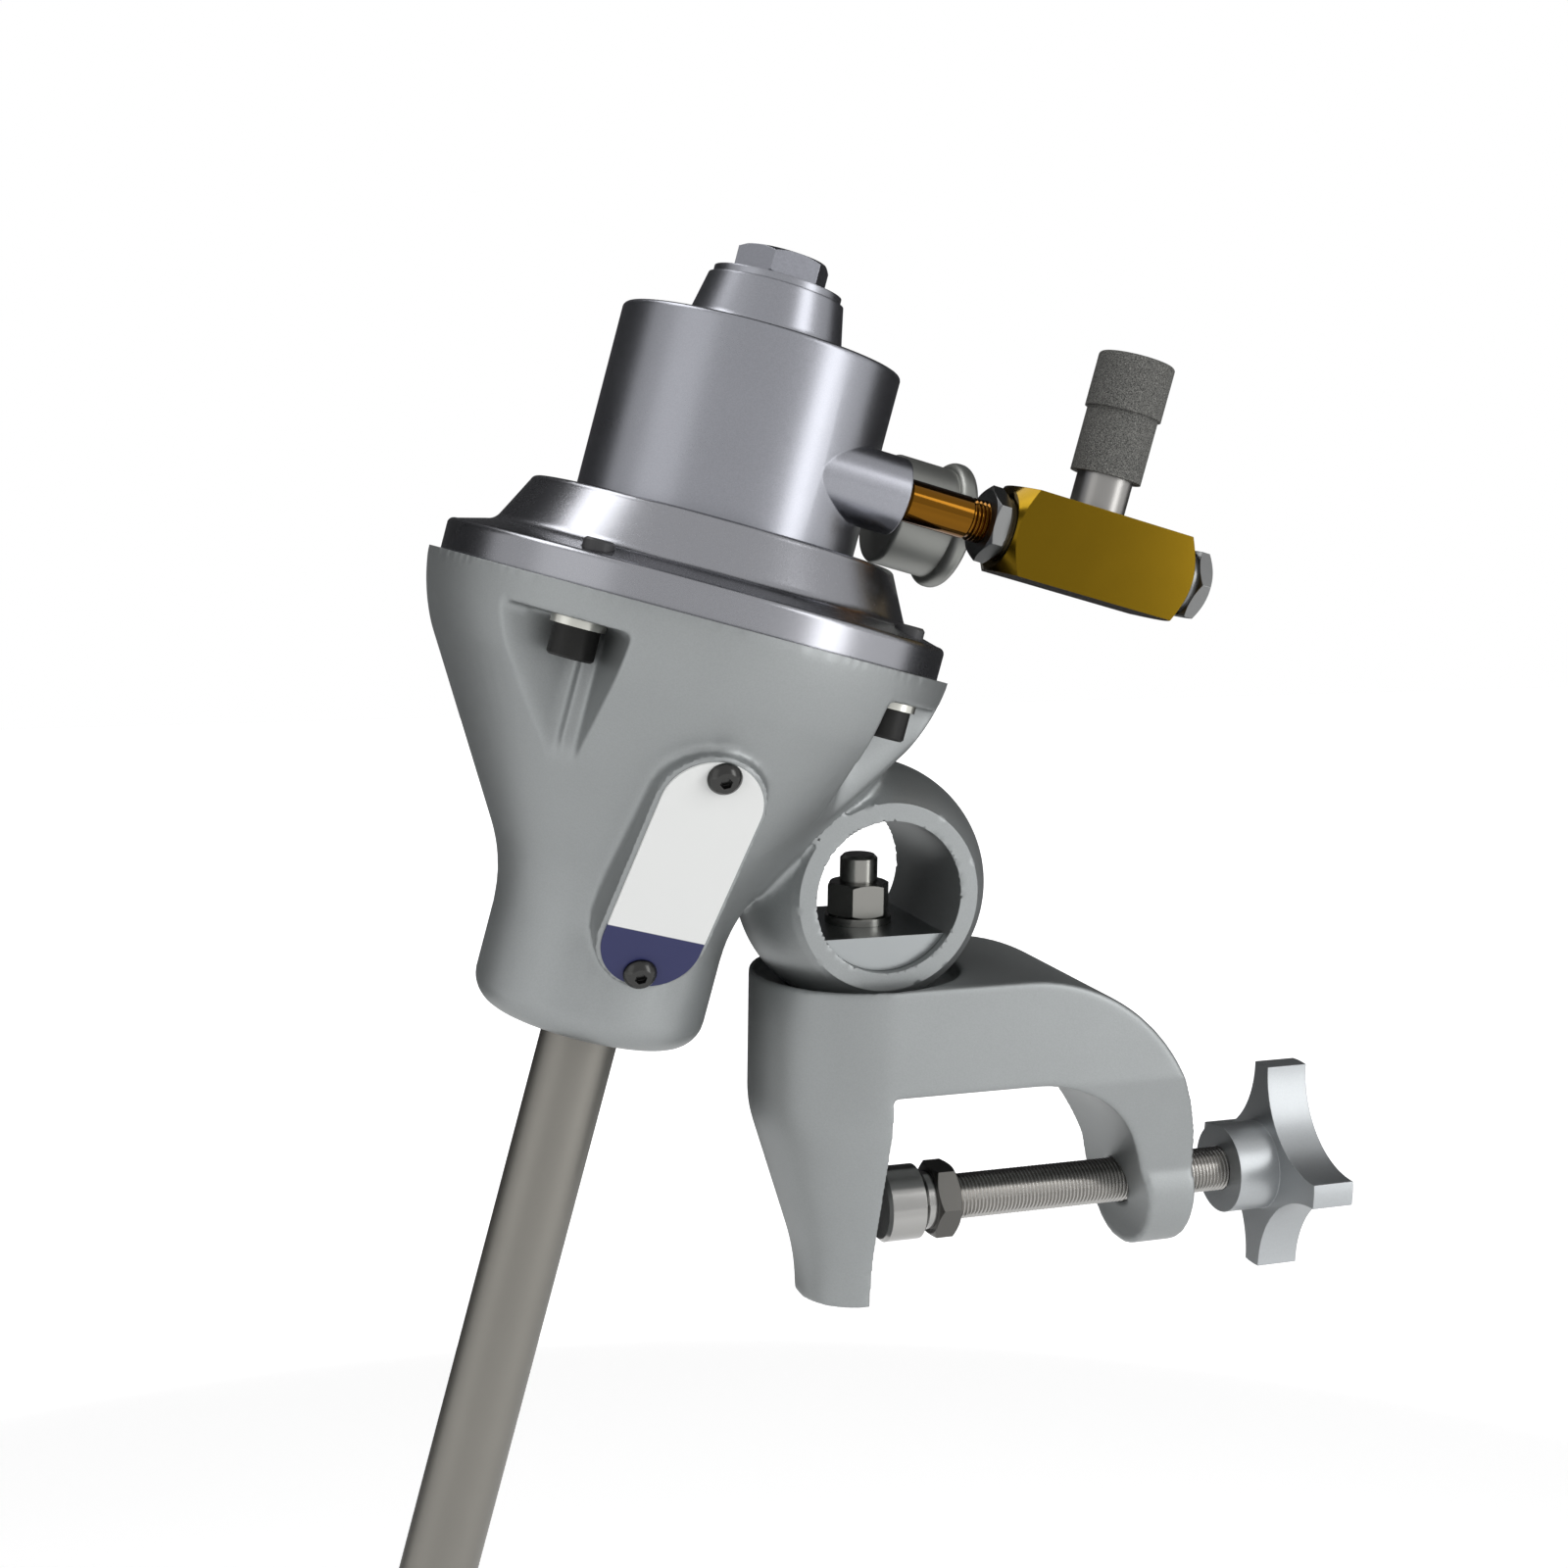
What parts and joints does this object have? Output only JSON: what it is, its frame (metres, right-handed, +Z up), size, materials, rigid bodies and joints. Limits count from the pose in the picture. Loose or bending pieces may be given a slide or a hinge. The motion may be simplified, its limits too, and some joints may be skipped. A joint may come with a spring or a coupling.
{
  "type": "tank agitator",
  "caption": "Clamp-mounted air-driven tank agitator: motor on a bell housing, tilting ball mount on a screw clamp, long shaft with a propeller.",
  "frame": {"origin": "middle of the clamp's fixed jaw face, on the clamp screw's axis", "axes": "+X from the fixed jaw to the clamp screw, +Y along the tilt axis, +Z up"},
  "size_m": [0.5318, 0.1714, 1.0418],
  "materials": {
    "cast_grey": "satin light bluish grey casting",
    "motor_grey": "dark grey metallic enamel",
    "plate_grey": "satin grey casting",
    "black_oxide": "black oxide",
    "bright_steel": "bright turned steel",
    "dark_steel": "dark polished steel",
    "shaft_steel": "satin steel",
    "bearing_steel": "ground steel",
    "valve_brass": "bright brass",
    "pipe_brass": "polished brass",
    "fitting_steel": "grey plated steel",
    "chrome_trim": "chrome",
    "knob_grey": "dark grey grained",
    "muffler_tin": "light satin plated steel",
    "felt": "felt",
    "seal_rubber": "black rubber",
    "plate_white": "white plate with a navy band",
    "vane_fibre": "pressed fibre",
    "impeller_steel": "cast stainless steel",
    "bright_alloy": "bright satin cast aluminium"
  },
  "bodies": {
    "clamp": {"clamp_frame": "cast_grey", "swivel_stud": "dark_steel", "stud_nut": "dark_steel", "stud_washer": "dark_steel"},
    "saddle": {"saddle_block": "dark_steel"},
    "head": {"mixer_housing": "cast_grey", "nameplate": "plate_white", "nameplate_screws": "dark_steel", "flange_screws": "black_oxide", "flange_washers": "bright_steel", "drive_end_plate": "plate_grey", "motor_casing": "motor_grey", "casing_screws": "black_oxide", "boss_washer": "motor_grey", "boss_plug": "dark_steel", "upper_motor_bearing": "bearing_steel", "lower_motor_bearing": "bearing_steel", "upper_shaft_bearing": "bearing_steel", "lower_shaft_bearing": "bearing_steel", "bearing_retainer": "dark_steel", "shaft_seal": "seal_rubber", "inlet_nipple": "pipe_brass", "lock_nut": "fitting_steel", "valve_body": "valve_brass", "inlet_bushing": "fitting_steel", "valve_bonnet": "chrome_trim", "exhaust_nipple": "fitting_steel", "muffler_shell": "muffler_tin", "muffler_element": "felt"},
    "spindle": {"rotor": "bearing_steel", "vanes": "vane_fibre", "shaft_coupling": "fitting_steel", "coupling_screws": "black_oxide", "mixing_shaft": "shaft_steel", "impeller": "impeller_steel", "impeller_screw": "black_oxide"},
    "needle": {"valve_needle": "bright_steel"},
    "throttle": {"valve_knob": "knob_grey"},
    "pad": {"clamp_pad": "bright_steel"},
    "screw": {"clamp_screw": "bright_steel", "pad_nut": "bright_steel", "screw_knob": "bright_alloy"}
  },
  "joints": [
    {"name": "swivel", "type": "hinge", "parent": "clamp", "child": "saddle", "pos_m": [0, 0, 0.115], "axis": [0, 0, 1], "range_deg": [-90, 90]},
    {"name": "tilt", "type": "hinge", "parent": "saddle", "child": "head", "pos_m": [0, 0, 0.115], "axis": [0, 1, 0], "range_deg": [-15, 15]},
    {"name": "shaft_spin", "type": "hinge", "parent": "head", "child": "spindle", "pos_m": [-0.05976, 0, 0.20551], "axis": [0.2588, 0, 0.9659], "continuous": true},
    {"name": "needle_travel", "type": "slide", "parent": "head", "child": "needle", "axis": [0.2588, 0, 0.9659], "range_m": [-0.002, 0.002]},
    {"name": "throttle_turn", "type": "hinge", "parent": "needle", "child": "throttle", "pos_m": [0.07183, -0.0305, 0.25307], "axis": [0.2588, 0, 0.9659], "range_deg": [-721, 721]},
    {"name": "pad_travel", "type": "slide", "parent": "clamp", "child": "pad", "axis": [1, 0, 0], "range_m": [-0.009, 0.061]},
    {"name": "screw_turn", "type": "hinge", "parent": "pad", "child": "screw", "pos_m": [0.05, 0, 0], "axis": [1, 0, 0], "range_deg": [-2298.5, 15579]}
  ],
  "couplings": [
    {"joint": "throttle_turn", "follows": "needle_travel", "rad_per_m": 6283.2},
    {"joint": "screw_turn", "follows": "pad_travel", "rad_per_m": 4453}
  ]
}
